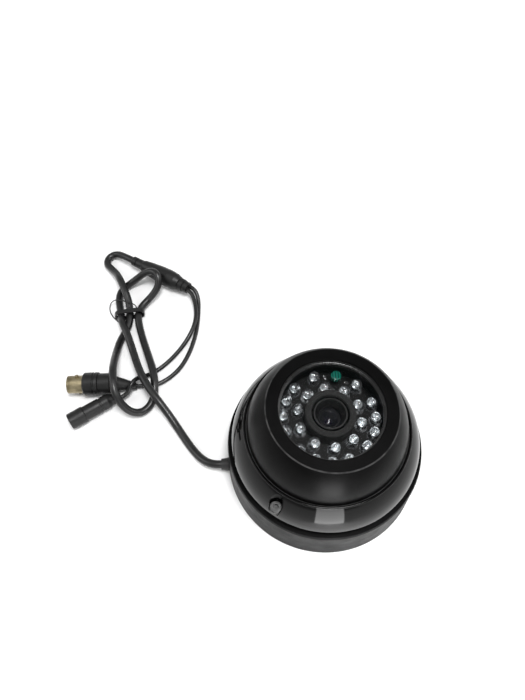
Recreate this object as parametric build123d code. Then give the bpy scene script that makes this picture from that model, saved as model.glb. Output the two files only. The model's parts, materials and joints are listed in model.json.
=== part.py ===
from build123d import *
import math
import os

# Metal dome camera: a ball that swivels in a round base, with its pigtail of cables.
# Millimetres. +Z is the axis of the base, z = 0 is the face that goes against the ceiling or wall,
# and the cable leaves through the side of the base towards -X.

# ---------------------------------------------------------------- driving dimensions
BASE_R = 47.0            # foot of the base
BASE_RIM_R = 45.4        # top edge of the base
BASE_H = 25.0
BASE_BORE_R = 43.4
FLOOR_T = 2.5
FLOOR_HOLE_R = 20.0
DECK_Z = 22.0            # underside of the deck that carries the ball seat
DECK_HOLE_R = 34.3
FIXING_R = 28.0          # three fixing screws go through the floor
FIXING_HOLE_R = 2.25
FIXING_ANGLES = (75, 195, 315)

GASKET_H = 2.6           # rubber band between the base and the clamp ring
GASKET_R = 43.2

RING_FOOT_R = 43.9
RING_MOUTH_R = 36.9
RING_FOOT_Z = BASE_H + GASKET_H
RING_TOP_Z = 43.6
SEAT_R = 39.1
PAD_R = 37.4
PAD_Z = (38.6, 42.3)
CLAMP_ANGLES = (233.5, 53.5)
CLAMP_SCREW_R = 41.3
CLAMP_POCKET_R = 3.2
CLAMP_POCKET_Z = 30.8

BALL_R = 36.2
BALL_Z = 39.4
BALL_LEAN = 2.0          # degrees that the ball leans towards +X at rest
BALL_BORE_R = 34.0
FACE_Z = 22.5            # flat front face, from the centre of the ball
REAR_Z = -31.5           # flat rear face, from the centre of the ball
FIT = 0.06               # radial running fit
SEAL_R = 35.05
SEAL_SECTION_R = 0.55

WINDOW_R = 23.0
LEDGE_R = 22.3
LEDGE_Z = 17.5
WELL_R = 23.5
GLASS_R = 22.7
GLASS_Z = 18.0
GLASS_T = 1.5
SHROUD_R = 26.0
LED_BOARD_TOP = 8.6
LED_BOARD_SCREW_R = 24.5
LED_TIP_Z = 15.4
LED_R = 2.5
LED_FLANGE_R = 2.85
LED_OUTER_R = 20.15
LED_INNER_R = 14.05
PHOTOCELL_ANGLE = 76.5
MAIN_BOARD_TOP = -6.0
MAIN_BOARD_R = 25.0
BOARD_T = 1.6
BOSS_R = 29.8            # columns that join the two shells of the ball
BOSS_ANGLES = (40, 160, 280)
POST_R = 21.5            # posts under the main board
POST_ANGLES = (10, 100, 190, 280)
LENS_THREAD_R = 6.0      # M12 x 0.5 lens

BOOT_BOTTOM = -37.0
BOOT_SPOUT_Z = -34.6
BOOT_SPOUT_END = 12.0

CABLE_D = 4.2
LEAD_D = 2.4
INNER_LEAD_D = 2.8
EXIT = (-50.5, -3.2, 4.8)          # outer end of the grommet
GROMMET_INNER_X = -42.5

SPLITTER_START = (-104.9, 129.3, 5.5)
SPLITTER_END = (-70.3, 106.5, 5.5)
BNC_FRONT = (-133.2, 44.6, 6.25)
BNC_BODY_END = (-109.5, 44.6, 6.25)
BNC_TAIL = (-97.2, 44.0, 2.4)
DC_FRONT = (-130.4, 23.4, 4.5)
DC_TURN = 31.0                     # degrees from +X
DC_LENGTH = 23.6
DC_TAIL = (-104.4, 36.9, 4.0)
TIE_AT = (-104.4, 90.8, 3.8)
TIE_TURN = 7.0                     # degrees from +X

# Route of each cable, one point after another, from its exit to its far end.
MAIN_ROUTE = [
    EXIT, (-54.6, -3.2, 4.8), (-60.0, -0.2, 3.4), (-65.2, 5.6, 2.2), (-69.8, 12.4, 2.1), (-74.2, 19.2, 2.6),
    (-78.6, 25.6, 4.8), (-83.4, 31.6, 8.0), (-88.4, 38.4, 9.0), (-92.8, 45.8, 9.4), (-96.6, 54.6, 7.4),
    (-100.0, 64.2, 5.8), (-103.4, 74.0, 7.4), (-106.8, 81.6, 7.6), (-108.8, 86.4, 5.3), (-109.6, 91.2, 3.4),
    (-111.2, 97.8, 2.6), (-112.4, 104.0, 2.1), (-111.0, 109.6, 2.1), (-106.6, 112.8, 3.2), (-101.0, 114.8, 6.4),
    (-95.6, 115.8, 10.4), (-90.6, 115.0, 12.8), (-87.2, 111.4, 12.2), (-87.6, 106.6, 9.0), (-90.8, 103.0, 5.8),
    (-95.2, 99.4, 3.6), (-98.8, 94.6, 3.2), (-99.6, 88.4, 3.2), (-97.8, 80.2, 2.2), (-94.6, 70.4, 2.3),
    (-91.2, 60.8, 3.8), (-88.2, 52.2, 5.4), (-86.6, 43.8, 5.2), (-87.0, 36.6, 3.0), (-89.4, 31.2, 2.2),
    (-93.6, 27.8, 2.6), (-98.4, 27.4, 5.0), (-102.4, 29.8, 9.0), (-105.2, 34.0, 13.2), (-106.6, 39.6, 15.4),
    (-107.6, 47.2, 15.0), (-108.8, 55.4, 10.4), (-109.6, 64.2, 4.8), (-109.2, 72.6, 2.1), (-106.6, 79.0, 2.1),
    (-104.4, 85.2, 2.7), (-104.4, 92.4, 3.3), (-105.4, 99.4, 5.0), (-108.0, 106.2, 7.5), (-111.2, 113.6, 7.5),
    (-114.8, 120.8, 4.4), (-118.6, 125.6, 2.8), (-122.4, 130.1, 2.2), (-121.2, 135.4, 2.4), (-116.3, 137.4, 3.2),
    (-109.08, 132.05, 5.5), SPLITTER_START,
]
POWER_ROUTE = [
    (-71.1, 105.29, 5.5), (-69.1, 103.97, 5.5), (-67.2, 100.4, 4.9), (-65.8, 94.6, 4.1), (-65.2, 86.4, 4.1),
    (-67.2, 78.4, 3.4), (-71.4, 71.0, 1.7), (-76.6, 63.6, 1.25), (-82.4, 57.2, 1.25), (-87.4, 53.2, 1.25),
    (-91.2, 50.8, 1.9), (-94.8, 48.4, 4.8), (-97.6, 45.4, 7.2), (-99.4, 41.8, 7.1), (-101.4, 38.7, 4.0),
    DC_TAIL,
]
VIDEO_ROUTE = [
    (-69.5, 107.71, 5.5), (-66.66, 105.84, 5.5), (-64.6, 101.6, 3.2), (-64.3, 95.6, 1.4), (-64.5, 87.2, 1.25),
    (-65.4, 78.0, 1.25), (-67.4, 69.2, 1.25), (-70.2, 61.4, 1.25), (-74.0, 54.4, 1.25), (-79.4, 48.8, 1.25),
    (-85.4, 45.2, 1.25), (-90.2, 44.2, 1.5), (-94.2, 44.0, 2.4), BNC_TAIL,
]
INNER_ROUTE = [
    (11.2, 0, 4.38), (17.0, 0, 4.2), (24.4, 2.6, 4.2), (31.0, 8.8, 4.2), (33.4, 18.0, 4.2), (24.6, 28.6, 4.2),
    (8.4, 36.0, 4.2), (-11.6, 35.2, 4.2), (-26.6, 25.2, 4.2), (-32.0, 13.6, 4.3), (-33.4, 4.6, 4.6),
    (-36.2, -3.2, 4.8), (GROMMET_INNER_X + 2.0, EXIT[1], EXIT[2]),
]
BALL_LEAD_ROUTE = [
    (0, 0, -27.8), (0, 0, -24.2), (-4.6, -3.6, -19.6), (-10.4, -8.2, -18.6), (-12.6, -10.2, -15.8), (-12.6, -10.2, -12.6),
]
TIE_TAIL_ROUTE = [
    (-99.99, 92.65, 7.2), (-100.2, 94.34, 7.2), (-103.2, 95.8, 8.0), (-108.8, 98.7, 6.7), (-113.8, 101.0, 4.7),
    (-117.0, 99.8, 2.6), (-117.6, 96.2, 0.9), (-115.6, 92.0, 0.7), (-112.9, 89.0, 0.7), (-110.2, 86.2, 0.7),
]
TIE_TAIL_D = 0.6

BALL = Pos(0, 0, BALL_Z) * Rot(0, BALL_LEAN, 0)


# ---------------------------------------------------------------- helpers
def around_z(radius, height, angle):
    """Place at a clock angle on a circle about +Z, local +X pointing outwards."""
    turn = math.radians(angle)
    return Pos(radius * math.cos(turn), radius * math.sin(turn), height) * Rot(0, 0, angle)


def rod(radius, bottom, top):
    """Cylinder on +Z between two heights."""
    return Pos(0, 0, bottom) * Cylinder(radius, top - bottom, align=(Align.CENTER, Align.CENTER, Align.MIN))


def ring(outer, inner, bottom, top):
    """Plain ring on +Z between two heights."""
    return rod(outer, bottom, top) - rod(inner, bottom - 1, top + 1)


def block(width, depth, bottom, top):
    """Box centred on +Z between two heights."""
    return Pos(0, 0, bottom) * Box(width, depth, top - bottom, align=(Align.CENTER, Align.CENTER, Align.MIN))


def turned(points):
    """Solid of revolution about +Z of a closed outline of (radius, height) points."""
    outline = Polyline(*[(r, 0, z) for r, z in points], close=True)
    return revolve(make_face(outline), Axis.Z)


def group(places, solid):
    """Identical pieces as one node."""
    return Compound([place * solid for place in places])


def circle_edges(solid, height, smallest, largest):
    """Circular edges at one height, between two radii."""
    edges = solid.edges().filter_by(GeomType.CIRCLE)
    return [e for e in edges if abs(e.center().Z - height) < 0.01 and smallest < e.radius < largest]


def cap_screw(head_r, head_h, shank_r, length):
    """Socket cap screw pointing down, the underside of its head at z = 0."""
    screw = rod(head_r, 0, head_h) + rod(shank_r, -length, 0)
    screw = chamfer(circle_edges(screw, head_h, 0, head_r + 1), 0.3)
    return screw - Pos(0, 0, head_h * 0.45) * extrude(RegularPolygon(head_r * 0.5, 6), head_h)


def cross_screw(head_r, head_h, shank_r, length):
    """Pan head cross screw pointing down, the underside of its head at z = 0."""
    screw = rod(head_r, 0, head_h) + rod(shank_r, -length, 0)
    screw = fillet(circle_edges(screw, head_h, 0, head_r + 1), head_h * 0.6)
    cross = block(head_r * 1.1, 0.45, head_h * 0.5, head_h + 1) + block(0.45, head_r * 1.1, head_h * 0.5, head_h + 1)
    return screw - cross


def route_radii(points):
    """Radius of the arc at each corner: 0.45 of the shorter run over the tangent of half the turn."""
    corners = [Vector(*p) for p in points]
    radii = []
    for before, corner, after in zip(corners, corners[1:], corners[2:]):
        incoming = corner - before
        outgoing = after - corner
        half_turn = math.radians(incoming.get_angle(outgoing)) / 2
        radii.append(0.45 * min(incoming.length, outgoing.length) / math.tan(half_turn))
    return radii


def cable(name, points, diameter):
    """Round cable along straight runs joined by tangent arcs."""
    radii = route_radii(points)
    path = FilletPolyline(*points, radius=radii)
    section = Plane(origin=points[0], z_dir=Vector(*points[1]) - Vector(*points[0])) * Circle(diameter / 2)
    solid = sweep(section, path=path)
    ideal = math.pi * diameter ** 2 / 4 * path.length
    print(f"{name}: length {path.length:.1f}, volume {solid.volume:.0f} of {ideal:.0f}")
    print("   radii", [round(r, 1) for r in radii])
    return solid


def aimed(start, end):
    """Frame at start with +Z towards end."""
    return Plane(origin=start, z_dir=Vector(*end) - Vector(*start))


def cone_boot(start, start_r, end, end_r, direction):
    """Tapered boot between two parallel round faces that need not be in line."""
    first = Plane(origin=start, z_dir=direction) * Circle(start_r)
    last = Plane(origin=end, z_dir=direction) * Circle(end_r)
    return loft([first, last], ruled=True)


# ---------------------------------------------------------------- base
def base_housing():
    body = turned([
        (FLOOR_HOLE_R, 0), (BASE_R - 0.6, 0), (BASE_R, 0.8), (BASE_R - 0.7, 14),
        (BASE_R - 1.0, BASE_H - 2.0), (BASE_RIM_R + 0.25, BASE_H - 0.5), (BASE_RIM_R, BASE_H),
        (DECK_HOLE_R, BASE_H), (DECK_HOLE_R, DECK_Z), (BASE_BORE_R - 2.5, DECK_Z),
        (BASE_BORE_R, DECK_Z - 3.0), (BASE_BORE_R, FLOOR_T), (FLOOR_HOLE_R, FLOOR_T),
    ])
    for angle in FIXING_ANGLES:
        body = body - around_z(FIXING_R, 0, angle) * rod(FIXING_HOLE_R, -1, FLOOR_T + 1)
    for angle in CLAMP_ANGLES:
        place = around_z(CLAMP_SCREW_R, 0, angle)
        body = body + place * rod(3.4, 13.0, DECK_Z + 0.5)
        body = body - place * rod(1.55, 14.5, BASE_H + 1)
    return body - Pos(-BASE_R, EXIT[1], EXIT[2]) * Rot(0, 90, 0) * Cylinder(3.32, 12)


def ring_gasket():
    band = turned([
        (39.3, BASE_H), (GASKET_R, BASE_H), (GASKET_R - 0.5, BASE_H + GASKET_H / 2),
        (GASKET_R, BASE_H + GASKET_H), (39.3, BASE_H + GASKET_H),
    ])
    for angle in CLAMP_ANGLES:
        band = band - around_z(CLAMP_SCREW_R, BASE_H, angle) * rod(1.65, -1, GASKET_H + 1)
    return band


def clamp_ring():
    wall_foot = (RING_FOOT_R, 0, RING_FOOT_Z + 0.9)
    wall_top = (RING_MOUTH_R + 0.9, 0, RING_TOP_Z - 0.7)
    lip = (RING_MOUTH_R - 0.3, 0, RING_TOP_Z - 0.5)
    underside = (RING_FOOT_R - 0.7, 0, RING_FOOT_Z)
    outline = [
        ThreePointArc(wall_foot, (42.1, 0, 35.6), wall_top),
        ThreePointArc(wall_top, (RING_MOUTH_R + 0.3, 0, RING_TOP_Z), lip),
        Polyline(
            lip, (lip[0], 0, PAD_Z[1]), (PAD_R, 0, PAD_Z[1]), (PAD_R, 0, PAD_Z[0]), (PAD_R - 0.4, 0, PAD_Z[0]),
            (PAD_R - 0.4, 0, 30.9), (SEAT_R + 0.1, 0, 30.9), (SEAT_R + 0.1, 0, RING_FOOT_Z), underside,
        ),
        ThreePointArc(underside, (RING_FOOT_R - 0.14, 0, RING_FOOT_Z + 0.32), wall_foot),
    ]
    body = revolve(make_face(outline), Axis.Z)
    for angle in CLAMP_ANGLES:
        place = around_z(CLAMP_SCREW_R, 0, angle)
        body = body - place * rod(CLAMP_POCKET_R, CLAMP_POCKET_Z, RING_TOP_Z + 1)
        body = body - place * rod(1.65, RING_FOOT_Z - 1, CLAMP_POCKET_Z + 1)
    return body


def clamp_screws():
    places = [around_z(CLAMP_SCREW_R, CLAMP_POCKET_Z, angle) for angle in CLAMP_ANGLES]
    return group(places, cap_screw(2.7, 3.0, 1.5, 14.0))


def ball_seat():
    """Nylon ring that carries the ball and turns with it."""
    body = rod(SEAT_R, BASE_H + FIT, 30.4) - Pos(0, 0, BALL_Z) * Sphere(BALL_R + FIT)
    return body - rod(34.4, BASE_H - 1, 27.2)


def clamp_pad():
    """Rubber friction ring under the lip of the clamp ring."""
    return rod(PAD_R, PAD_Z[0], PAD_Z[1]) - Pos(0, 0, BALL_Z) * Sphere(BALL_R + FIT)


def cable_grommet():
    length = GROMMET_INNER_X - EXIT[0]
    plug = turned([(0, 0), (3.3, 0), (3.3, 4.2), (2.75, length), (0, length)])
    flange = rod(4.6, -2.0, 0)
    body = Pos(GROMMET_INNER_X, EXIT[1], EXIT[2]) * Rot(0, -90, 0) * (plug + flange)
    return body - Pos(GROMMET_INNER_X, 0, 0) * block(6, 20, -1, FLOOR_T + 0.05)


def lead_clip():
    """Saddle that holds the inner lead down to the floor of the base."""
    saddle = block(9.6, 4.0, FLOOR_T, 6.9) - Pos(0, 0, 4.2) * Rot(90, 0, 0) * Cylinder(1.6, 8)
    saddle = saddle - block(2.8, 8, FLOOR_T - 1, 4.2)
    foot = Pos(7.2, 0, 0) * block(6.0, 5.0, FLOOR_T, FLOOR_T + 1.4)
    hole = Pos(7.4, 0, 0) * rod(1.1, 0, 8)
    return Pos(-19.1, 30.2, 0) * Rot(0, 0, -56.3) * (saddle + foot - hole)


def lead_clip_screw():
    screw = cross_screw(2.0, 1.3, 1.0, 1.3)
    return Pos(-19.1, 30.2, 0) * Rot(0, 0, -56.3) * Pos(7.4, 0, FLOOR_T + 1.4) * screw


# ---------------------------------------------------------------- shells of the ball, in the frame of the ball
def wall_column(angle, bottom, top):
    """Screw column against the wall of the ball."""
    column = rod(3.5, bottom, top) + Pos(3.5, 0, 0) * block(7, 7, bottom, top)
    return (around_z(BOSS_R, 0, angle) * column) & Sphere(BALL_R - 1)


def ball_front_shell():
    shell = Sphere(BALL_R) - Sphere(BALL_BORE_R)
    shell = shell + (rod(BALL_R, FACE_Z - 3.4, FACE_Z) & Sphere(BALL_R))
    shell = shell + rod(SHROUD_R, LED_BOARD_TOP + 0.02, FACE_Z - 1)
    for angle in BOSS_ANGLES:
        shell = shell + wall_column(angle, 0, 9.5)
    shell = shell - rod(BALL_R + 1, -BALL_R - 1, 0) - rod(BALL_R, FACE_Z, BALL_R + 1)
    shell = shell - rod(WINDOW_R, LEDGE_Z, FACE_Z + 1) - rod(LEDGE_R, 0, FACE_Z) - rod(WELL_R, 0, LEDGE_Z - 1.2)
    for angle in BOSS_ANGLES:
        shell = shell - around_z(BOSS_R, 0, angle) * rod(1.25, -1, 8.0)
        shell = shell - around_z(LED_BOARD_SCREW_R, LED_BOARD_TOP, angle + 60) * rod(0.8, -1, 4.0)
    shell = shell - Torus(SEAL_R, SEAL_SECTION_R)
    shell = chamfer(circle_edges(shell, FACE_Z, 26, BALL_R), 0.35)
    return chamfer(circle_edges(shell, FACE_Z, 20, 26), 0.3)


def ball_rear_shell():
    shell = Sphere(BALL_R) - Sphere(BALL_BORE_R)
    shell = shell + (rod(22.0, REAR_Z, REAR_Z + 2.4) & Sphere(BALL_R))
    for angle in POST_ANGLES:
        shell = shell + (around_z(POST_R, 0, angle) * rod(2.4, -30, MAIN_BOARD_TOP - BOARD_T) & Sphere(BALL_R - 1))
    for angle in BOSS_ANGLES:
        shell = shell + wall_column(angle, -26, 0)
    shell = shell - rod(BALL_R + 1, 0, BALL_R + 1) - rod(BALL_R, -BALL_R - 1, REAR_Z)
    for angle in BOSS_ANGLES:
        shell = shell - around_z(BOSS_R, 0, angle) * (rod(2.9, -BALL_R, -12.0) + rod(1.65, -BALL_R, 1))
    for angle in POST_ANGLES:
        shell = shell - around_z(POST_R, MAIN_BOARD_TOP, angle) * rod(0.8, -8.0, 1)
    shell = shell - rod(6.1, -BALL_R, 0) - rod(8.6, REAR_Z + 1.9, 0)
    return shell - Torus(SEAL_R, SEAL_SECTION_R)


def ball_seam_seal():
    return Torus(SEAL_R, SEAL_SECTION_R)


def shell_screws():
    places = [around_z(BOSS_R, -12.0, angle) * Rot(180, 0, 0) for angle in BOSS_ANGLES]
    return group(places, cap_screw(2.6, 2.0, 1.2, 18.0))


def window_gasket():
    return ring(GLASS_R, LEDGE_R + 0.1, LEDGE_Z, GLASS_Z)


def window_glass():
    return chamfer(rod(GLASS_R, GLASS_Z, GLASS_Z + GLASS_T).edges(), 0.2)


def window_ring():
    """Stepped ring pressed in over the glass."""
    seat = GLASS_Z + GLASS_T
    return turned([
        (22.0, seat), (22.95, seat), (22.95, seat + 1.9), (22.65, seat + 1.9), (22.55, seat + 1.1), (22.3, seat + 1.0),
        (22.2, seat + 0.5), (22.0, seat + 0.4),
    ])


# ---------------------------------------------------------------- infrared board, in the frame of the ball
def led_places(radius, angles):
    return [around_z(radius, 0, angle) for angle in angles]


def outer_led_angles():
    """Three groups of four, and a pair each side of the photocell."""
    groups = [PHOTOCELL_ANGLE + quarter + step for quarter in (90, 180, 270) for step in (-30.75, -10.25, 10.25, 30.75)]
    return [PHOTOCELL_ANGLE - 28.5, PHOTOCELL_ANGLE + 28.5] + groups


def inner_led_angles():
    return [21 + 36 * k for k in range(10)]


def infrared_led():
    """Clear 5 mm LED standing on the board."""
    shoulder = LED_TIP_Z - LED_R
    body = rod(LED_FLANGE_R, LED_BOARD_TOP, LED_BOARD_TOP + 1.0) + rod(LED_R, LED_BOARD_TOP, shoulder)
    return body + Pos(0, 0, shoulder) * Sphere(LED_R)


def led_board():
    board = ring(SHROUD_R - 0.2, 8.5, LED_BOARD_TOP - BOARD_T, LED_BOARD_TOP)
    for angle in BOSS_ANGLES:
        board = board - around_z(LED_BOARD_SCREW_R, 0, angle + 60) * rod(1.0, 0, LED_BOARD_TOP + 1)
    return board


def led_board_screws():
    bottom = LED_BOARD_TOP - BOARD_T
    places = [around_z(LED_BOARD_SCREW_R, bottom, angle + 60) * Rot(180, 0, 0) for angle in BOSS_ANGLES]
    return group(places, cross_screw(1.8, 1.2, 0.75, 4.6))


def photocell():
    disc = rod(2.4, 11.6, 13.8)
    disc = fillet(circle_edges(disc, 13.8, 2, 3), 0.4)
    legs = group([Pos(0, 1.2, 0), Pos(0, -1.2, 0)], rod(0.3, LED_BOARD_TOP, 11.7))
    return around_z(LED_OUTER_R, 0, PHOTOCELL_ANGLE) * (disc + legs)


# ---------------------------------------------------------------- lens and main board, in the frame of the ball
def lens_holder():
    roof = MAIN_BOARD_TOP + 4.2
    body = rod(8.1, roof, 8.4) + block(17.0, 17.0, MAIN_BOARD_TOP, roof + 1.2)
    body = body - block(13.6, 13.6, MAIN_BOARD_TOP - 1, roof)
    return body - rod(4.6, roof - 1, 9) - rod(LENS_THREAD_R + FIT, roof + 1.0, 9)


def lens_lock_ring():
    body = ring(7.6, LENS_THREAD_R + FIT, 9.0, 10.5)
    for k in range(12):
        body = body - around_z(7.75, 9, 30 * k) * rod(0.35, -1, 2)
    return body


def lens_barrel():
    return turned([
        (4.2, 0.2), (LENS_THREAD_R, 0.2), (LENS_THREAD_R, 10.9), (7.3, 10.9), (7.5, 11.2), (7.5, 15.8),
        (7.2, 16.1), (6.7, 16.1), (5.0, 13.0), (5.0, 10.4), (4.2, 10.4),
    ])


def lens_front_element():
    return rod(4.95, 10.4, 13.0) & (Pos(0, 0, 3.4) * Sphere(9.0))


def lens_rear_element():
    return rod(4.15, 0.8, 3.4) & (Pos(0, 0, 8.6) * Sphere(7.6))


def lens_foam():
    body = ring(11.1, 8.25, LED_BOARD_TOP, 16.9)
    return fillet(circle_edges(body, 16.9, 8, 12), 0.5)


def infrared_filter():
    roof = MAIN_BOARD_TOP + 4.2
    return block(11.0, 11.0, roof - 0.5, roof)


def image_sensor():
    package = block(10.4, 9.8, MAIN_BOARD_TOP, MAIN_BOARD_TOP + 1.2)
    return package - block(6.0, 4.8, MAIN_BOARD_TOP + 0.9, MAIN_BOARD_TOP + 2)


def main_board():
    board = rod(MAIN_BOARD_R, MAIN_BOARD_TOP - BOARD_T, MAIN_BOARD_TOP)
    for angle in POST_ANGLES:
        board = board - around_z(POST_R, MAIN_BOARD_TOP, angle) * rod(1.0, -3, 3)
    return board


def main_board_screws():
    places = [around_z(POST_R, MAIN_BOARD_TOP, angle) for angle in POST_ANGLES]
    return group(places, cross_screw(1.8, 1.2, 0.75, 5.0))


def main_board_chips():
    underside = MAIN_BOARD_TOP - BOARD_T
    spots = ((1, 1, 0, 9, 9, 1.2), (13, -9, 0, 5, 4, 1.0), (-12, 8, 90, 6, 4, 1.6), (8, 14, 30, 4, 3, 0.9))
    return Compound([
        Pos(x, y, 0) * Rot(0, 0, turn) * block(width, depth, underside - height, underside)
        for x, y, turn, width, depth, height in spots
    ])


def lead_socket():
    underside = MAIN_BOARD_TOP - BOARD_T
    return Pos(-12.6, -10.2, 0) * Rot(0, 0, 40) * block(9.0, 4.4, underside - 5.0, underside)


def jumper_sockets():
    lower = Pos(17.0, 0, 0) * block(3.0, 8.0, MAIN_BOARD_TOP, MAIN_BOARD_TOP + 2.6)
    upper = Pos(17.0, 0, 0) * block(3.0, 8.0, LED_BOARD_TOP - BOARD_T - 2.6, LED_BOARD_TOP - BOARD_T)
    return Rot(0, 0, 55) * Compound([lower, upper])


def led_jumper():
    """Flat lead between the two boards, bowed outwards."""
    bottom = MAIN_BOARD_TOP + 2.6
    top = LED_BOARD_TOP - BOARD_T - 2.6
    middle = (bottom + top) / 2
    outer = ThreePointArc((17.4, 0, bottom), (19.6, 0, middle), (17.4, 0, top))
    inner = ThreePointArc((16.6, 0, top), (18.8, 0, middle), (16.6, 0, bottom))
    top_end = Line((17.4, 0, top), (16.6, 0, top))
    bottom_end = Line((16.6, 0, bottom), (17.4, 0, bottom))
    outline = make_face([outer, top_end, inner, bottom_end])
    return Rot(0, 0, 55) * extrude(outline, 3.0, both=True)


def rear_boot():
    """Rubber boot in the rear of the ball, which the ball can spin about."""
    body = rod(7.2, BOOT_BOTTOM, REAR_Z - 0.3)
    body = fillet(circle_edges(body, BOOT_BOTTOM, 7, 8), 1.5)
    spout = Cone(2.9, 2.1, BOOT_SPOUT_END, align=(Align.CENTER, Align.CENTER, Align.MIN))
    body = body + Pos(0, 0, BOOT_SPOUT_Z) * Rot(0, 90, 0) * spout
    return body + rod(6.0, REAR_Z - 0.4, REAR_Z + 2.4) + rod(8.3, REAR_Z + 2.2, REAR_Z + 3.4)


# ---------------------------------------------------------------- pieces on the cables
def cable_splitter():
    """Moulded splitter, thicker past its middle, with ribbed ends."""
    length = (Vector(*SPLITTER_END) - Vector(*SPLITTER_START)).length
    body = turned([
        (0, 0), (2.5, 0), (2.9, 0.5), (2.9, 3.0), (2.5, 3.2), (2.5, 3.8), (2.95, 4.0), (3.05, 7.4),
        (3.6, 8.6), (4.4, 14.0), (5.1, 21.0), (5.4, 27.0), (5.0, 32.0), (4.0, 35.0), (3.5, 35.2),
        (3.5, 35.9), (3.9, 36.1), (3.75, 38.0), (3.2, 38.2), (3.2, 38.9), (3.5, 39.1), (3.3, length), (0, length),
    ])
    return aimed(SPLITTER_START, SPLITTER_END).location * body


def twist_tie():
    """Flat band round the three strands of the bundle."""
    band = SlotOverall(17.4, 7.4) - SlotOverall(16.2, 6.2)
    return Pos(*TIE_AT) * Rot(0, 0, TIE_TURN) * Rot(90, 0, 0) * extrude(band, 1.3, both=True)


BNC = aimed(BNC_FRONT, BNC_BODY_END).location


def bnc_shell():
    body = ring(4.8, 4.05, 0, 8.5) + ring(5.0, 4.0, 8.5, 12.0)
    lug = Pos(0, 0, 5.2) * Rot(90, 0, 0) * Cylinder(0.95, 11.2)
    lugs = lug - rod(4.5, 0, 12)
    return BNC * Rot(0, 0, 60) * (body + lugs)


def bnc_insulator():
    return BNC * (ring(2.35, 1.2, 1.0, 9.0) + ring(4.0, 1.2, 9.0, 12.0))


def bnc_contact():
    body = ring(1.2, 0.5, 1.3, 7.5) + rod(1.2, 7.5, 12.0)
    return BNC * (body - block(0.3, 4, 0, 5.0))


def bnc_housing():
    body = turned([
        (0, 12), (5.0, 12), (5.0, 8.5), (5.7, 8.5), (6.2, 9.1), (6.2, 13.6), (5.9, 13.9), (5.9, 14.5),
        (6.2, 14.8), (6.1, 16.4), (5.5, 16.8), (5.5, 22.7), (4.6, 23.7), (0, 23.7),
    ])
    return BNC * body


def bnc_boot():
    return cone_boot(BNC_BODY_END, 4.4, BNC_TAIL, 1.9, (1, 0, 0))


DC = Pos(*DC_FRONT) * Rot(0, 0, DC_TURN) * Rot(0, 90, 0)
DC_BODY_END = tuple((DC * Pos(0, 0, DC_LENGTH)).position)


def dc_body():
    body = turned([
        (2.85, 0), (4.1, 0), (4.4, 0.3), (4.4, 8.4), (3.95, 8.7), (3.95, 17.6), (3.6, 17.8), (3.6, 18.5), (3.95, 18.7),
        (3.95, DC_LENGTH - 1.6), (3.4, DC_LENGTH),
        (0, DC_LENGTH), (0, 10.0), (2.85, 10.0),
    ])
    return DC * (body - rod(1.05, 8, 14))


def dc_pin():
    pin = rod(1.05, 1.0, 14.0)
    return DC * chamfer(circle_edges(pin, 1.0, 0, 2), 0.4)


def dc_contact():
    """Sprung outer contact of the power socket."""
    leaf = ring(2.85, 2.6, 2.0, 10.0) & (Pos(2.7, 0, 0) * block(3.0, 2.6, 0, 12))
    return DC * leaf


def dc_boot():
    direction = (math.cos(math.radians(DC_TURN)), math.sin(math.radians(DC_TURN)), 0)
    return cone_boot(DC_BODY_END, 3.3, DC_TAIL, 1.8, direction)


# ---------------------------------------------------------------- the nodes
IN_BASE = {
    "base_housing": base_housing(),
    "ring_gasket": ring_gasket(),
    "clamp_ring": clamp_ring(),
    "clamp_screws": clamp_screws(),
    "clamp_pad": clamp_pad(),
    "ball_seat": ball_seat(),
    "cable_grommet": cable_grommet(),
    "lead_clip": lead_clip(),
    "lead_clip_screw": lead_clip_screw(),
    "inner_lead": cable("inner_lead", INNER_ROUTE, INNER_LEAD_D),
    "main_cable": cable("main_cable", MAIN_ROUTE, CABLE_D),
    "cable_splitter": cable_splitter(),
    "power_lead": cable("power_lead", POWER_ROUTE, LEAD_D),
    "video_lead": cable("video_lead", VIDEO_ROUTE, LEAD_D),
    "twist_tie": twist_tie(),
    "twist_tie_tail": cable("twist_tie_tail", TIE_TAIL_ROUTE, TIE_TAIL_D),
    "bnc_shell": bnc_shell(),
    "bnc_insulator": bnc_insulator(),
    "bnc_contact": bnc_contact(),
    "bnc_housing": bnc_housing(),
    "bnc_boot": bnc_boot(),
    "dc_body": dc_body(),
    "dc_pin": dc_pin(),
    "dc_contact": dc_contact(),
    "dc_boot": dc_boot(),
}
IN_BALL = {
    "ball_front_shell": ball_front_shell(),
    "ball_rear_shell": ball_rear_shell(),
    "ball_seam_seal": ball_seam_seal(),
    "shell_screws": shell_screws(),
    "window_gasket": window_gasket(),
    "window_glass": window_glass(),
    "window_ring": window_ring(),
    "outer_leds": group(led_places(LED_OUTER_R, outer_led_angles()), infrared_led()),
    "inner_leds": group(led_places(LED_INNER_R, inner_led_angles()), infrared_led()),
    "led_board": led_board(),
    "led_board_screws": led_board_screws(),
    "photocell": photocell(),
    "lens_holder": lens_holder(),
    "lens_lock_ring": lens_lock_ring(),
    "lens_barrel": lens_barrel(),
    "lens_front_element": lens_front_element(),
    "lens_rear_element": lens_rear_element(),
    "lens_foam": lens_foam(),
    "infrared_filter": infrared_filter(),
    "image_sensor": image_sensor(),
    "main_board": main_board(),
    "main_board_screws": main_board_screws(),
    "main_board_chips": main_board_chips(),
    "lead_socket": lead_socket(),
    "jumper_sockets": jumper_sockets(),
    "led_jumper": led_jumper(),
    "ball_lead": cable("ball_lead", BALL_LEAD_ROUTE, INNER_LEAD_D),
    "rear_boot": rear_boot(),
}

os.makedirs("parts", exist_ok=True)
for name, solid in IN_BASE.items():
    export_step(solid, f"parts/{name}.step")
for name, solid in IN_BALL.items():
    export_step(BALL * solid, f"parts/{name}.step")
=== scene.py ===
import json
import math

import bmesh
import bpy
from mathutils import Matrix, Vector


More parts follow.
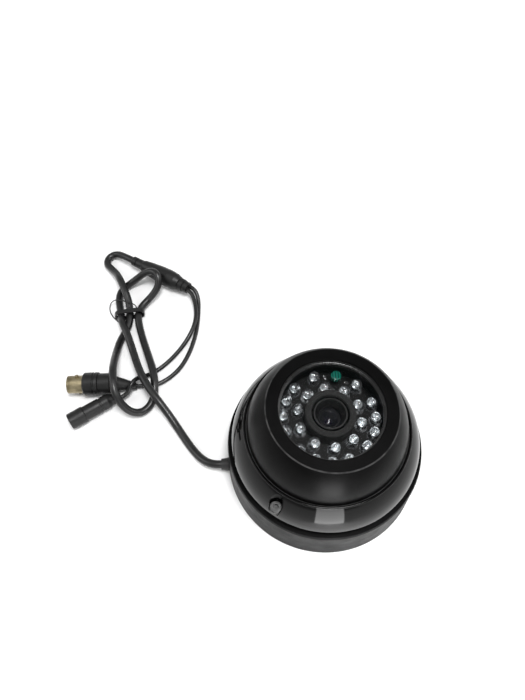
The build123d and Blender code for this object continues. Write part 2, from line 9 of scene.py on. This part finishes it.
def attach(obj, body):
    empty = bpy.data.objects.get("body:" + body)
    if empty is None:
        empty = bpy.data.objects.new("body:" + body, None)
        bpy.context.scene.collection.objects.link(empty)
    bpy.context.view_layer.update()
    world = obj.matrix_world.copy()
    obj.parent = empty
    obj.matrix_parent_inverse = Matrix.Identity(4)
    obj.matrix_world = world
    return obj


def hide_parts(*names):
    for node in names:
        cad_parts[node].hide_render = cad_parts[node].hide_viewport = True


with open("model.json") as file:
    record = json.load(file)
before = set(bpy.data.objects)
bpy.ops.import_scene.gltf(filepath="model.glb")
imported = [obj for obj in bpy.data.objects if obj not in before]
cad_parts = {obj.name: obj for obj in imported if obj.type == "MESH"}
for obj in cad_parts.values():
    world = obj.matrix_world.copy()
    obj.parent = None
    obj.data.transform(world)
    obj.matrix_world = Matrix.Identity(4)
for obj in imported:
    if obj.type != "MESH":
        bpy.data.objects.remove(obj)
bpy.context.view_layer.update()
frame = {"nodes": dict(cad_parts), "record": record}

nodes = frame["nodes"]
scene = bpy.context.scene
MM = 0.001
BALL_Z = 39.4          # height of the centre of the ball, mm
BALL_LEAN = 2          # of the ball at rest, degrees about +Y


# ---------------------------------------------------------------- camera
CAMERA_PLACE = Vector((-27.51, -98.21, 281.57)) * MM
CAMERA_RIGHT = (0.9991, -0.0358, -0.0208)
CAMERA_FORWARD = (0.0, 0.5013, -0.8652)
FOCAL_LENGTH = 39.18
SENSOR_WIDTH = 36


def add_camera():
    """Looks down on the object from the front, about 60 degrees below the horizontal."""
    right = Vector(CAMERA_RIGHT).normalized()
    forward = Vector(CAMERA_FORWARD)
    forward = (forward - right * forward.dot(right)).normalized()
    up = right.cross(forward)
    data = bpy.data.cameras.new("camera")
    data.sensor_fit = "HORIZONTAL"
    data.sensor_width = SENSOR_WIDTH
    data.lens = FOCAL_LENGTH
    data.clip_start = 0.01
    data.clip_end = 20
    camera = bpy.data.objects.new("camera", data)
    turn = Matrix((right, up, -forward)).transposed().to_4x4()
    camera.matrix_world = Matrix.Translation(CAMERA_PLACE) @ turn
    scene.collection.objects.link(camera)
    scene.camera = camera


add_camera()


# ---------------------------------------------------------------- materials
class Surface:
    """One procedural material: a Principled shader with patterns in object space."""

    def __init__(self, name):
        self.material = bpy.data.materials.new(name)
        self.material.use_nodes = True
        self.tree = self.material.node_tree
        self.shader = self.tree.nodes["Principled BSDF"]
        self.output = self.tree.nodes["Material Output"]
        self.coordinates = self.tree.nodes.new("ShaderNodeTexCoord").outputs["Object"]

    def set(self, **values):
        for socket, value in values.items():
            self.shader.inputs[socket.replace("_", " ")].default_value = value
        return self

    def link(self, source, target):
        self.tree.links.new(source, target)

    def noise(self, scale, detail=3.0):
        """Noise between 0 and 1; scale is in features per metre."""
        texture = self.tree.nodes.new("ShaderNodeTexNoise")
        texture.inputs["Scale"].default_value = scale
        texture.inputs["Detail"].default_value = detail
        texture.inputs["Roughness"].default_value = 0.55
        self.link(self.coordinates, texture.inputs["Vector"])
        return texture.outputs["Fac"]

    def ramp(self, factor, stops):
        """Colour along a ramp of (position, colour) stops."""
        ramp = self.tree.nodes.new("ShaderNodeValToRGB")
        elements = ramp.color_ramp.elements
        while len(elements) < len(stops):
            elements.new(0.5)
        for element, (position, colour) in zip(elements, stops):
            element.position = position
            element.color = (*colour, 1)
        self.link(factor, ramp.inputs["Fac"])
        return ramp.outputs["Color"]

    def span(self, value, low, high, to_low, to_high):
        """Maps a value from one range to another, clamped."""
        node = self.tree.nodes.new("ShaderNodeMapRange")
        limits = {"From Min": low, "From Max": high, "To Min": to_low, "To Max": to_high}
        for socket, number in limits.items():
            node.inputs[socket].default_value = number
        self.link(value, node.inputs["Value"])
        return node.outputs["Result"]

    def mix(self, factor, first, second):
        """Colour mix of two, each a socket or a plain colour."""
        node = self.tree.nodes.new("ShaderNodeMix")
        node.data_type = "RGBA"
        self.link(factor, node.inputs[0])
        for socket, colour in ((node.inputs[6], first), (node.inputs[7], second)):
            if isinstance(colour, tuple):
                socket.default_value = (*colour, 1)
            else:
                self.link(colour, socket)
        return node.outputs[2]

    def colour(self, socket):
        self.link(socket, self.shader.inputs["Base Color"])
        return self

    def roughness(self, pattern, low, high):
        self.link(self.span(pattern, 0.3, 0.7, low, high), self.shader.inputs["Roughness"])
        return self

    def bump(self, pattern, depth):
        """Raises the surface; depth in metres."""
        node = self.tree.nodes.new("ShaderNodeBump")
        node.inputs["Distance"].default_value = depth
        node.inputs["Strength"].default_value = 1.0
        self.link(pattern, node.inputs["Height"])
        self.link(node.outputs["Normal"], self.shader.inputs["Normal"])
        return self


def worn(name, dark, light, scale, rough, grain, depth, **values):
    """Plain solid finish: mottled colour, uneven gloss and a fine grain."""
    surface = Surface(name).set(**values)
    mottle = surface.noise(scale)
    surface.colour(surface.ramp(mottle, [(0.3, dark), (0.7, light)]))
    surface.roughness(surface.noise(scale * 2.3), *rough)
    return surface.bump(surface.noise(grain, 2.0), depth)


def see_through(name, tint, mirror, haze, rough=0.02):
    """Clear thin piece: what is behind it shows, with a mirror sheen that grows towards the edge."""
    surface = Surface(name).set(Roughness=rough, IOR=1.5)
    surface.colour(surface.ramp(surface.noise(400), [(0.3, tint), (0.7, tuple(c * 0.94 for c in tint))]))
    tree = surface.tree
    clear = tree.nodes.new("ShaderNodeBsdfTransparent")
    clear.inputs["Color"].default_value = (1, 1, 1, 1)
    mixer = tree.nodes.new("ShaderNodeMixShader")
    edge = tree.nodes.new("ShaderNodeLayerWeight")
    edge.inputs["Blend"].default_value = mirror
    surface.link(surface.span(edge.outputs["Facing"], 0, 1, haze, 0.9), mixer.inputs["Fac"])
    surface.link(clear.outputs["BSDF"], mixer.inputs[1])
    surface.link(surface.shader.outputs["BSDF"], mixer.inputs[2])
    surface.link(mixer.outputs["Shader"], surface.output.inputs["Surface"])
    return surface


def grey(value, tint=0.0):
    return (value, value, value * (1 + tint))


def track(name, dark, light):
    """Light-sensitive disc: a winding track in a clear tinted cap."""
    surface = Surface(name).set(Roughness=0.12, Coat_Weight=0.5)
    wave = surface.tree.nodes.new("ShaderNodeTexWave")
    wave.wave_profile = "SIN"
    wave.bands_direction = "X"
    wave.inputs["Scale"].default_value = 260
    wave.inputs["Distortion"].default_value = 0.6
    surface.link(surface.coordinates, wave.inputs["Vector"])
    surface.colour(surface.ramp(wave.outputs["Fac"], [(0.25, dark), (0.6, light)]))
    return surface.bump(wave.outputs["Fac"], 0.00005)


def moulded_glass(name, tint, rough):
    """Solid clear piece that bends light; faint flow lines in its surface."""
    surface = Surface(name).set(Transmission_Weight=0.97, IOR=1.53)
    surface.colour(surface.ramp(surface.noise(500), [(0.3, tint), (0.7, tuple(c * 0.97 for c in tint))]))
    surface.roughness(surface.noise(700), *rough)
    surface.bump(surface.noise(900, 2.0), 0.00002)
    tree = surface.tree
    clear = tree.nodes.new("ShaderNodeBsdfTransparent")
    clear.inputs["Color"].default_value = (0.9, 0.92, 0.94, 1)
    rays = tree.nodes.new("ShaderNodeLightPath")
    mixer = tree.nodes.new("ShaderNodeMixShader")
    surface.link(rays.outputs["Is Shadow Ray"], mixer.inputs["Fac"])
    surface.link(surface.shader.outputs["BSDF"], mixer.inputs[1])
    surface.link(clear.outputs["BSDF"], mixer.inputs[2])
    surface.link(mixer.outputs["Shader"], surface.output.inputs["Surface"])
    return surface


# Where the painted highlight lies on the ball's edge, in mm from its centre: heights along its axis, and
# least radius.
HIGHLIGHT_FOOT = 22.10
HIGHLIGHT_TOP = 22.46
HIGHLIGHT_R = 27.8


def edge_highlit_ball(name):
    """Satin black paint, with a painted highlight: lighter grey on the chamfer round the flat face of the
    ball.
    """
    surface = Surface(name).set(Specular_IOR_Level=0.05)
    paint = surface.ramp(surface.noise(60), [(0.3, grey(0.0012)), (0.7, grey(0.0026, 0.05))])
    mapping = surface.tree.nodes.new("ShaderNodeMapping")
    upright = Matrix.Rotation(math.radians(-BALL_LEAN), 3, "Y")
    mapping.inputs["Rotation"].default_value = (0, math.radians(-BALL_LEAN), 0)
    mapping.inputs["Location"].default_value = upright @ Vector((0, 0, -BALL_Z * MM))
    surface.link(surface.coordinates, mapping.inputs["Vector"])
    split = surface.tree.nodes.new("ShaderNodeSeparateXYZ")
    surface.link(mapping.outputs["Vector"], split.inputs["Vector"])
    flat = surface.tree.nodes.new("ShaderNodeVectorMath")
    flat.operation = "MULTIPLY"
    flat.inputs[1].default_value = (1, 1, 0)
    surface.link(mapping.outputs["Vector"], flat.inputs[0])
    distance = surface.tree.nodes.new("ShaderNodeVectorMath")
    distance.operation = "LENGTH"
    surface.link(flat.outputs["Vector"], distance.inputs[0])
    # Masks for the painted highlight: a band on the chamfer, made uneven in strength by noise.
    masks = [
        surface.span(split.outputs["Z"], HIGHLIGHT_FOOT * MM, (HIGHLIGHT_FOOT + 0.06) * MM, 0, 1),
        surface.span(split.outputs["Z"], HIGHLIGHT_TOP * MM, (HIGHLIGHT_TOP + 0.03) * MM, 1, 0),
        surface.span(distance.outputs["Value"], HIGHLIGHT_R * MM, (HIGHLIGHT_R + 0.1) * MM, 0, 1),
        surface.span(surface.noise(220), 0.35, 0.6, 0.35, 1),
    ]
    painted_highlight = masks[0]
    for mask in masks[1:]:
        product = surface.tree.nodes.new("ShaderNodeMath")
        product.operation = "MULTIPLY"
        surface.link(painted_highlight, product.inputs[0])
        surface.link(mask, product.inputs[1])
        painted_highlight = product.outputs["Value"]
    # Painted highlight: the chamfer is mixed towards a lighter grey, in place of the light the edge catches.
    surface.colour(surface.mix(painted_highlight, paint, grey(0.05)))
    surface.roughness(surface.noise(138), 0.30, 0.40)
    return surface.bump(surface.noise(2600, 2.0), 0.00003)


# Low, so that the pale floor and lights do not turn the black paint grey.
SATIN = {"Specular_IOR_Level": 0.03}
MATERIALS = {
    "base_paint": worn(
        "base_paint", grey(0.0012), grey(0.0026, 0.05), 60, (0.30, 0.42), 2600, 0.00003, **SATIN,
    ),
    "ring_enamel": worn(
        "ring_enamel", grey(0.0012), grey(0.0024), 45, (0.05, 0.09), 700, 0.000002, Specular_IOR_Level=0.16,
    ),
    "ball_paint": edge_highlit_ball("ball_paint"),
    "ring_satin": worn("ring_satin", grey(0.008), grey(0.016), 150, (0.25, 0.35), 2200, 0.00001),
    "black_rubber": worn("black_rubber", grey(0.003), grey(0.006), 200, (0.6, 0.8), 1500, 0.00003),
    "grey_rubber": worn("grey_rubber", grey(0.006), grey(0.014), 300, (0.45, 0.6), 1800, 0.00003),
    "black_nylon": worn("black_nylon", grey(0.006), grey(0.012), 200, (0.45, 0.6), 1800, 0.00002),
    "black_foam": worn("black_foam", grey(0.003), grey(0.010), 900, (0.85, 0.95), 2400, 0.0002),
    "screw_steel": worn(
        "screw_steel", grey(0.035), grey(0.09), 500, (0.35, 0.55), 1500, 0.00002, Metallic=0.8,
    ),
    "black_board": worn(
        "black_board", grey(0.0025), grey(0.007), 400, (0.35, 0.55), 1200, 0.00002, Specular_IOR_Level=0.15,
    ),
    "green_board": worn(
        "green_board", (0.01, 0.09, 0.035), (0.02, 0.15, 0.06), 300, (0.3, 0.45), 1200, 0.00002,
    ),
    "photocell_green": track("photocell_green", (0.003, 0.05, 0.036), (0.006, 0.13, 0.095)),
    "sensor_dark": worn(
        "sensor_dark", (0.02, 0.02, 0.04), (0.06, 0.05, 0.1), 800, (0.08, 0.15), 1500, 0.000005,
    ),
    "chip_black": worn("chip_black", grey(0.008), grey(0.02), 500, (0.5, 0.65), 1800, 0.00002),
    "white_plastic": worn("white_plastic", grey(0.62), grey(0.75), 300, (0.35, 0.5), 1500, 0.00001),
    "anodised_black": worn(
        "anodised_black", grey(0.004), grey(0.010), 300, (0.28, 0.4), 1800, 0.00002, Specular_IOR_Level=0.4,
    ),
    "nickel": worn(
        "nickel", (0.16, 0.13, 0.075), (0.42, 0.36, 0.23), 260, (0.28, 0.5), 1400, 0.00003, Metallic=1.0,
    ),
    "gold_brass": worn(
        "gold_brass", (0.7, 0.48, 0.18), (0.85, 0.65, 0.3), 400, (0.2, 0.3), 1400, 0.00001, Metallic=1.0,
    ),
    "cable_jacket": worn("cable_jacket", grey(0.0025), grey(0.006, 0.05), 180, (0.26, 0.42), 1700, 0.00004),
    "cable_moulding": worn(
        "cable_moulding", grey(0.0025), grey(0.006), 180, (0.36, 0.52), 1500, 0.00006, Specular_IOR_Level=0.4,
    ),
    "tie_plastic": worn("tie_plastic", grey(0.003), grey(0.008), 300, (0.25, 0.4), 1500, 0.00002),
    "clear_glass": see_through("clear_glass", (0.02, 0.03, 0.03), 0.06, 0.008, 0.01),
    "filter_glass": see_through("filter_glass", (0.1, 0.2, 0.25), 0.3, 0.3),
    "lens_glass": see_through("lens_glass", (0.003, 0.003, 0.010), 0.25, 0.10, 0.01),
    "led_metal": worn(
        "led_metal", (0.28, 0.30, 0.31), (0.72, 0.74, 0.74), 900, (0.12, 0.3), 2400, 0.00002, Metallic=1.0,
    ),
    "inner_lens": worn(
        "inner_lens", (0.004, 0.003, 0.012), (0.012, 0.008, 0.03), 300, (0.02, 0.05), 900, 0.000002,
        Coat_Weight=1.0,
    ),
    "led_resin": moulded_glass("led_resin", (0.95, 0.97, 1.0), (0.0, 0.05)),
}

for entry in frame["record"]["subparts"]:
    mesh = nodes[entry["node"]].data
    mesh.materials.clear()
    mesh.materials.append(MATERIALS[entry["material_slot"]].material)


# ---------------------------------------------------------------- cables
MAIN_ROUTE = [
    (-50.5, -3.2, 4.8), (-54.6, -3.2, 4.8), (-60.0, -0.2, 3.4), (-65.2, 5.6, 2.2), (-69.8, 12.4, 2.1),
    (-74.2, 19.2, 2.6), (-78.6, 25.6, 4.8), (-83.4, 31.6, 8.0), (-88.4, 38.4, 9.0), (-92.8, 45.8, 9.4),
    (-96.6, 54.6, 7.4), (-100.0, 64.2, 5.8), (-103.4, 74.0, 7.4), (-106.8, 81.6, 7.6), (-108.8, 86.4, 5.3),
    (-109.6, 91.2, 3.4), (-111.2, 97.8, 2.6), (-112.4, 104.0, 2.1), (-111.0, 109.6, 2.1),
    (-106.6, 112.8, 3.2), (-101.0, 114.8, 6.4), (-95.6, 115.8, 10.4), (-90.6, 115.0, 12.8),
    (-87.2, 111.4, 12.2),
    (-87.6, 106.6, 9.0), (-90.8, 103.0, 5.8), (-95.2, 99.4, 3.6), (-98.8, 94.6, 3.2), (-99.6, 88.4, 3.2),
    (-97.8, 80.2, 2.2), (-94.6, 70.4, 2.3), (-91.2, 60.8, 3.8), (-88.2, 52.2, 5.4), (-86.6, 43.8, 5.2),
    (-87.0, 36.6, 3.0), (-89.4, 31.2, 2.2), (-93.6, 27.8, 2.6), (-98.4, 27.4, 5.0), (-102.4, 29.8, 9.0),
    (-105.2, 34.0, 13.2), (-106.6, 39.6, 15.4), (-107.6, 47.2, 15.0), (-108.8, 55.4, 10.4),
    (-109.6, 64.2, 4.8), (-109.2, 72.6, 2.1), (-106.6, 79.0, 2.1), (-104.4, 85.2, 2.7), (-104.4, 92.4, 3.3),
    (-105.4, 99.4, 5.0), (-108.0, 106.2, 7.5), (-111.2, 113.6, 7.5), (-114.8, 120.8, 4.4),
    (-118.6, 125.6, 2.8), (-122.4, 130.1, 2.2), (-121.2, 135.4, 2.4), (-116.3, 137.4, 3.2),
    (-109.08, 132.05, 5.5), (-104.9, 129.3, 5.5),
]
POWER_ROUTE = [
    (-71.1, 105.29, 5.5), (-69.1, 103.97, 5.5), (-67.2, 100.4, 4.9), (-65.8, 94.6, 4.1), (-65.2, 86.4, 4.1),
    (-67.2, 78.4, 3.4), (-71.4, 71.0, 1.7), (-76.6, 63.6, 1.25), (-82.4, 57.2, 1.25), (-87.4, 53.2, 1.25),
    (-91.2, 50.8, 1.9), (-94.8, 48.4, 4.8), (-97.6, 45.4, 7.2), (-99.4, 41.8, 7.1), (-101.4, 38.7, 4.0),
    (-104.4, 36.9, 4.0),
]
VIDEO_ROUTE = [
    (-69.5, 107.71, 5.5), (-66.66, 105.84, 5.5), (-64.6, 101.6, 3.2), (-64.3, 95.6, 1.4), (-64.5, 87.2, 1.25),
    (-65.4, 78.0, 1.25), (-67.4, 69.2, 1.25), (-70.2, 61.4, 1.25), (-74.0, 54.4, 1.25), (-79.4, 48.8, 1.25),
    (-85.4, 45.2, 1.25), (-90.2, 44.2, 1.5), (-94.2, 44.0, 2.4), (-97.2, 44.0, 2.4),
]
TIE_TAIL_ROUTE = [
    (-99.99, 92.65, 7.2), (-100.2, 94.34, 7.2), (-103.2, 95.8, 8.0), (-108.8, 98.7, 6.7),
    (-113.8, 101.0, 4.7), (-117.0, 99.8, 2.6), (-117.6, 96.2, 0.9), (-115.6, 92.0, 0.7),
    (-112.9, 89.0, 0.7), (-110.2, 86.2, 0.7),
]


def add_cable(name, route, diameter, node, material):
    """Smooth round cable with the route as its control points."""
    curve = bpy.data.curves.new(name, "CURVE")
    curve.dimensions = "3D"
    curve.resolution_u = 10
    curve.bevel_depth = diameter / 2
    curve.bevel_resolution = 6
    curve.use_fill_caps = True
    spline = curve.splines.new("NURBS")
    spline.points.add(len(route) - 1)
    for point, place in zip(spline.points, route):
        point.co = (*(Vector(place) * MM), 1)
    spline.order_u = 3
    spline.use_endpoint_u = True
    curve.materials.append(MATERIALS[material].material)
    piece = bpy.data.objects.new(name, curve)
    scene.collection.objects.link(piece)
    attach(piece, "base")
    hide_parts(node)
    return piece


main_cable = add_cable("main_cable_jacket", MAIN_ROUTE, 0.0042, "main_cable", "cable_jacket")
power_lead = add_cable("power_lead_jacket", POWER_ROUTE, 0.0024, "power_lead", "cable_jacket")
video_lead = add_cable("video_lead_jacket", VIDEO_ROUTE, 0.0024, "video_lead", "cable_jacket")
tie_tail = add_cable("twist_tie_wire", TIE_TAIL_ROUTE, 0.0006, "twist_tie_tail", "tie_plastic")


# ---------------------------------------------------------------- small parts behind the window
BALL = Matrix.Translation((0, 0, BALL_Z * MM)) @ Matrix.Rotation(math.radians(BALL_LEAN), 4, "Y")

# The light board, in mm and degrees in the frame of the ball.
BOARD_TOP = 8.6
PHOTOCELL_ANGLE = 76.5
OUTER_LED_R = 20.15
INNER_LED_R = 14.05
OUTER_LED_STEPS = [-28.5, 28.5] + [q + s for q in (90, 180, 270) for s in (-30.75, -10.25, 10.25, 30.75)]
LED_PLACES = [(OUTER_LED_R, PHOTOCELL_ANGLE + step) for step in OUTER_LED_STEPS]
LED_PLACES += [(INNER_LED_R, 21 + 36 * k) for k in range(10)]


def in_ball(radius, degrees, turn=0.0):
    """Place on the light board, at a radius and angle about the axis of the ball."""
    around = Matrix.Rotation(math.radians(degrees), 4, "Z") @ Matrix.Translation((radius * MM, 0, 0))
    return BALL @ around @ Matrix.Rotation(math.radians(turn), 4, "Z")


def lathe(mesh, place, outline, sides, offset=(0.0, 0.0)):
    """Adds a closed turned shape; outline is (radius, height) in mm from the axis, up and back down."""
    rings = []
    for radius, height in outline:
        if radius == 0:
            rings.append([mesh.verts.new(place @ (Vector((offset[0], offset[1], height)) * MM))])
            continue
        ring = []
        for k in range(sides):
            angle = 2 * math.pi * k / sides
            x = offset[0] + radius * math.cos(angle)
            y = offset[1] + radius * math.sin(angle)
            ring.append(mesh.verts.new(place @ (Vector((x, y, height)) * MM)))
        rings.append(ring)
    for lower, upper in zip(rings, rings[1:]):
        for k in range(sides):
            after = k + 1
            bottom = [lower[k % len(lower)], lower[after % len(lower)]]
            top = [upper[after % len(upper)], upper[k % len(upper)]]
            corners = list(dict.fromkeys(bottom + top))
            if len(corners) > 2:
                mesh.faces.new(corners)


def detail_piece(name, mesh, body, material, bevel=0.0):
    """Makes a piece from a mesh under construction; bevel rounds its edges, in mm."""
    bmesh.ops.recalc_face_normals(mesh, faces=mesh.faces)
    data = bpy.data.meshes.new(name)
    mesh.to_mesh(data)
    mesh.free()
    data.materials.append(MATERIALS[material].material)
    data.shade_smooth()
    piece = bpy.data.objects.new(name, data)
    scene.collection.objects.link(piece)
    if bevel:
        rounding = piece.modifiers.new("rounding", "BEVEL")
        rounding.width = bevel * MM
        rounding.segments = 2
    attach(piece, body)


def add_led_cups():
    """Bright die cup and two leads inside every light."""
    cup = [
        (0, 11.1), (0.45, 11.1), (0.95, 12.3), (1.15, 12.4), (1.2, 12.2), (1.15, 11.2), (0.8, 10.4),
        (0.35, 9.9), (0.28, 8.7), (0, 8.7),
    ]
    post = [(0, 11.6), (0.45, 11.5), (0.6, 11.1), (0.3, 10.4), (0.25, 8.7), (0, 8.7)]
    mesh = bmesh.new()
    for radius, degrees in LED_PLACES:
        place = in_ball(radius, degrees)
        lathe(mesh, place, cup, 20, (0.0, 0.35))
        lathe(mesh, place, post, 12, (0.0, -1.25))
    detail_piece("led_cups", mesh, "ball", "led_metal")


def block(mesh, place, size, centre):
    """Adds a box; size and centre are in mm from the place."""
    scale = Matrix.Diagonal((*(Vector(size) * MM), 1))
    bmesh.ops.create_cube(mesh, size=1, matrix=place @ Matrix.Translation(Vector(centre) * MM) @ scale)


def add_board_parts():
    """Resistors with tinned ends between the lights."""
    spots = [
        (PHOTOCELL_ANGLE - 15, 20.6, 80),
        (PHOTOCELL_ANGLE + 13, 21.0, 20),
        (PHOTOCELL_ANGLE + 2, 15.2, 90),
    ]
    spots += [(PHOTOCELL_ANGLE + quarter, 22.6, 0) for quarter in (90, 180, 270)]
    chips = bmesh.new()
    ends = bmesh.new()
    for degrees, radius, turn in spots:
        place = in_ball(radius, degrees, turn)
        block(chips, place, (1.3, 1.25, 0.55), (0, 0, BOARD_TOP + 0.3))
        for side in (-1, 1):
            block(ends, place, (0.35, 1.3, 0.6), (side * 0.82, 0, BOARD_TOP + 0.32))
    detail_piece("board_resistors", chips, "ball", "chip_black", 0.08)
    detail_piece("board_resistor_ends", ends, "ball", "led_metal", 0.08)


def add_lens_steps():
    """Stepped black rings that narrow down inside the lens, with the inner glass at the bottom."""
    steps = [
        (4.15, 10.3), (3.6, 10.2), (3.5, 9.5), (2.9, 9.4), (2.8, 8.6), (2.2, 8.5), (2.1, 7.6), (1.6, 7.5),
        (1.5, 6.6), (1.9, 6.4), (4.1, 6.4), (4.15, 6.6), (4.15, 10.3),
    ]
    mesh = bmesh.new()
    lathe(mesh, BALL, steps, 64)
    bmesh.ops.remove_doubles(mesh, verts=mesh.verts, dist=0.00001)
    detail_piece("lens_steps", mesh, "lens", "anodised_black")
    mesh = bmesh.new()
    glass = [(0, 6.4), (1.5, 6.35), (1.6, 6.5), (1.5, 6.75), (1.0, 7.05), (0.5, 7.2), (0, 7.25)]
    lathe(mesh, BALL, glass, 48)
    detail_piece("lens_inner_glass", mesh, "lens", "inner_lens")


add_led_cups()
add_board_parts()
add_lens_steps()


# ---------------------------------------------------------------- floor and light
def add_floor():
    """Wide pale sheet that everything lies on."""
    mesh = bpy.data.meshes.new("floor")
    reach = 3.0
    corners = [(-reach, -reach, 0), (reach, -reach, 0), (reach, reach, 0), (-reach, reach, 0)]
    mesh.from_pydata(corners, [], [(0, 1, 2, 3)])
    floor = bpy.data.objects.new("floor", mesh)
    scene.collection.objects.link(floor)
    paper = Surface("paper")
    paper.colour(paper.ramp(paper.noise(30), [(0.3, grey(0.90)), (0.7, grey(0.94))])).set(Roughness=0.9)
    mesh.materials.append(paper.material)


def add_panel(name, place, aim, size, power):
    """Softbox: a lit rectangle that faces a point."""
    data = bpy.data.lights.new(name, "AREA")
    data.shape = "RECTANGLE"
    data.size, data.size_y = size
    data.energy = power
    light = bpy.data.objects.new(name, data)
    light.location = place
    light.rotation_euler = (Vector(aim) - Vector(place)).to_track_quat("-Z", "Y").to_euler()
    light.visible_camera = False
    scene.collection.objects.link(light)


add_floor()
add_panel("key", (0.12, -0.1, 1.2), (0, 0, 0), (0.4, 0.3), 11)
add_panel("window", (0.16, -0.72, 0.3), (0, 0, 0.04), (0.5, 0.5), 1.4)
# The card stands in front of the ring, low down, and is the pale patch reflected in the enamel.
add_panel("card", (0.0, -0.1, 0.022), (0.003, -0.04, 0.024), (0.038, 0.048), 0.05)
add_panel("left", (-1.0, 0.1, 0.75), (-0.05, 0, 0), (0.7, 0.5), 3)
add_panel("right", (1.0, 0.25, 0.75), (0, 0, 0), (0.7, 0.5), 3)

world = bpy.data.worlds.new("studio")
world.use_nodes = True
world.node_tree.nodes["Background"].inputs["Color"].default_value = (1, 1, 1, 1)
world.node_tree.nodes["Background"].inputs["Strength"].default_value = 0.5
scene.world = world
scene.view_settings.view_transform = "Standard"
